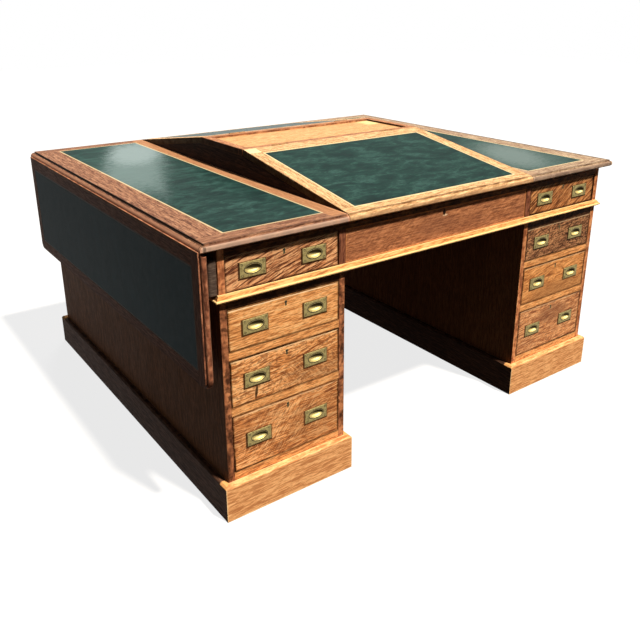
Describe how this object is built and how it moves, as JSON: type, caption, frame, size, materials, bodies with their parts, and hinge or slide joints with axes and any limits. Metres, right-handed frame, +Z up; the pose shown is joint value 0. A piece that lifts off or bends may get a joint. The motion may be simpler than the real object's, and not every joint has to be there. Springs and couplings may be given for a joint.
{
  "type": "partners desk",
  "caption": "Oak partners desk with leather-lined top, hinged writing slopes, pen tray, drop leaf and drawers with flush brass pulls on both faces.",
  "frame": {"origin": "on the floor, under the middle of the whole box with the side leaf hanging", "axes": "+Z up, -Y towards the front pair of drawer banks, -X towards the hanging leaf"},
  "size_m": [1.6, 1.372, 0.8684],
  "materials": {
    "oak": "golden-brown quarter-sawn oak, waxed",
    "pine": "unfinished secondary pine",
    "leather": "mottled green hide with a tooled cream line",
    "brass": "aged cast brass"
  },
  "bodies": {
    "carcase": {"pedestal_sides": "oak", "pedestal_rails": "oak", "plinths": "oak", "frieze_sides": "oak", "frieze_rails": "oak", "frieze_panels": "oak", "base_moulding": "oak", "top_left": "oak", "top_right": "oak", "ridge_frame": "oak", "bracket_blocks": "oak", "pedestal_boards": "pine", "drawer_runners": "pine", "well_boards": "pine", "lid_hardware": "brass", "leaf_hinges": "brass", "top_leathers": "leather"},
    "slope_front": {"lid_front": "oak", "lid_front_leather": "leather", "lid_front_flaps": "brass"},
    "slope_rear": {"lid_rear": "oak", "lid_rear_leather": "leather", "lid_rear_flaps": "brass"},
    "side_leaf": {"leaf": "oak", "leaf_leather": "leather", "leaf_flaps": "brass"},
    "fly_bracket_front": {"bracket_front": "oak"},
    "fly_bracket_rear": {"bracket_rear": "oak"},
    "front_left_drawer_1": {"drawer_front_left_1": "oak", "brass_front_left_1": "brass"},
    "front_right_drawer_1": {"drawer_front_right_1": "oak", "brass_front_right_1": "brass"},
    "rear_left_drawer_1": {"drawer_rear_left_1": "oak", "brass_rear_left_1": "brass"},
    "rear_right_drawer_1": {"drawer_rear_right_1": "oak", "brass_rear_right_1": "brass"},
    "front_left_drawer_2": {"drawer_front_left_2": "oak", "brass_front_left_2": "brass"},
    "front_right_drawer_2": {"drawer_front_right_2": "oak", "brass_front_right_2": "brass"},
    "rear_left_drawer_2": {"drawer_rear_left_2": "oak", "brass_rear_left_2": "brass"},
    "rear_right_drawer_2": {"drawer_rear_right_2": "oak", "brass_rear_right_2": "brass"},
    "front_left_drawer_3": {"drawer_front_left_3": "oak", "brass_front_left_3": "brass"},
    "front_right_drawer_3": {"drawer_front_right_3": "oak", "brass_front_right_3": "brass"},
    "rear_left_drawer_3": {"drawer_rear_left_3": "oak", "brass_rear_left_3": "brass"},
    "rear_right_drawer_3": {"drawer_rear_right_3": "oak", "brass_rear_right_3": "brass"},
    "front_left_drawer_4": {"drawer_front_left_4": "oak", "brass_front_left_4": "brass"},
    "front_right_drawer_4": {"drawer_front_right_4": "oak", "brass_front_right_4": "brass"},
    "rear_left_drawer_4": {"drawer_rear_left_4": "oak", "brass_rear_left_4": "brass"},
    "rear_right_drawer_4": {"drawer_rear_right_4": "oak", "brass_rear_right_4": "brass"}
  },
  "joints": [
    {"name": "slope_front_hinge", "type": "hinge", "parent": "carcase", "child": "slope_front", "pos_m": [0.005, -0.138, 0.866], "axis": [-1, 0, 0], "range_deg": [0, 100]},
    {"name": "slope_rear_hinge", "type": "hinge", "parent": "carcase", "child": "slope_rear", "pos_m": [0.005, 0.138, 0.866], "axis": [1, 0, 0], "range_deg": [0, 100]},
    {"name": "leaf_hinge", "type": "hinge", "parent": "carcase", "child": "side_leaf", "pos_m": [-0.783, 0, 0.763], "axis": [0, 1, 0], "range_deg": [0, 90]},
    {"name": "bracket_front_pivot", "type": "hinge", "parent": "carcase", "child": "fly_bracket_front", "pos_m": [-0.7595, -0.341, 0.641], "axis": [0, 0, -1], "range_deg": [0, 1.3]},
    {"name": "bracket_rear_pivot", "type": "hinge", "parent": "carcase", "child": "fly_bracket_rear", "pos_m": [-0.7595, 0.341, 0.641], "axis": [0, 0, 1], "range_deg": [0, 1.3]},
    {"name": "front_left_slide_1", "type": "slide", "parent": "carcase", "child": "front_left_drawer_1", "axis": [0, -1, 0], "range_m": [0, 0.42]},
    {"name": "front_right_slide_1", "type": "slide", "parent": "carcase", "child": "front_right_drawer_1", "axis": [0, -1, 0], "range_m": [0, 0.42]},
    {"name": "rear_left_slide_1", "type": "slide", "parent": "carcase", "child": "rear_left_drawer_1", "axis": [0, 1, 0], "range_m": [0, 0.42]},
    {"name": "rear_right_slide_1", "type": "slide", "parent": "carcase", "child": "rear_right_drawer_1", "axis": [0, 1, 0], "range_m": [0, 0.42]},
    {"name": "front_left_slide_2", "type": "slide", "parent": "carcase", "child": "front_left_drawer_2", "axis": [0, -1, 0], "range_m": [0, 0.42]},
    {"name": "front_right_slide_2", "type": "slide", "parent": "carcase", "child": "front_right_drawer_2", "axis": [0, -1, 0], "range_m": [0, 0.42]},
    {"name": "rear_left_slide_2", "type": "slide", "parent": "carcase", "child": "rear_left_drawer_2", "axis": [0, 1, 0], "range_m": [0, 0.42]},
    {"name": "rear_right_slide_2", "type": "slide", "parent": "carcase", "child": "rear_right_drawer_2", "axis": [0, 1, 0], "range_m": [0, 0.42]},
    {"name": "front_left_slide_3", "type": "slide", "parent": "carcase", "child": "front_left_drawer_3", "axis": [0, -1, 0], "range_m": [0, 0.42]},
    {"name": "front_right_slide_3", "type": "slide", "parent": "carcase", "child": "front_right_drawer_3", "axis": [0, -1, 0], "range_m": [0, 0.42]},
    {"name": "rear_left_slide_3", "type": "slide", "parent": "carcase", "child": "rear_left_drawer_3", "axis": [0, 1, 0], "range_m": [0, 0.42]},
    {"name": "rear_right_slide_3", "type": "slide", "parent": "carcase", "child": "rear_right_drawer_3", "axis": [0, 1, 0], "range_m": [0, 0.42]},
    {"name": "front_left_slide_4", "type": "slide", "parent": "carcase", "child": "front_left_drawer_4", "axis": [0, -1, 0], "range_m": [0, 0.42]},
    {"name": "front_right_slide_4", "type": "slide", "parent": "carcase", "child": "front_right_drawer_4", "axis": [0, -1, 0], "range_m": [0, 0.42]},
    {"name": "rear_left_slide_4", "type": "slide", "parent": "carcase", "child": "rear_left_drawer_4", "axis": [0, 1, 0], "range_m": [0, 0.42]},
    {"name": "rear_right_slide_4", "type": "slide", "parent": "carcase", "child": "rear_right_drawer_4", "axis": [0, 1, 0], "range_m": [0, 0.42]}
  ]
}
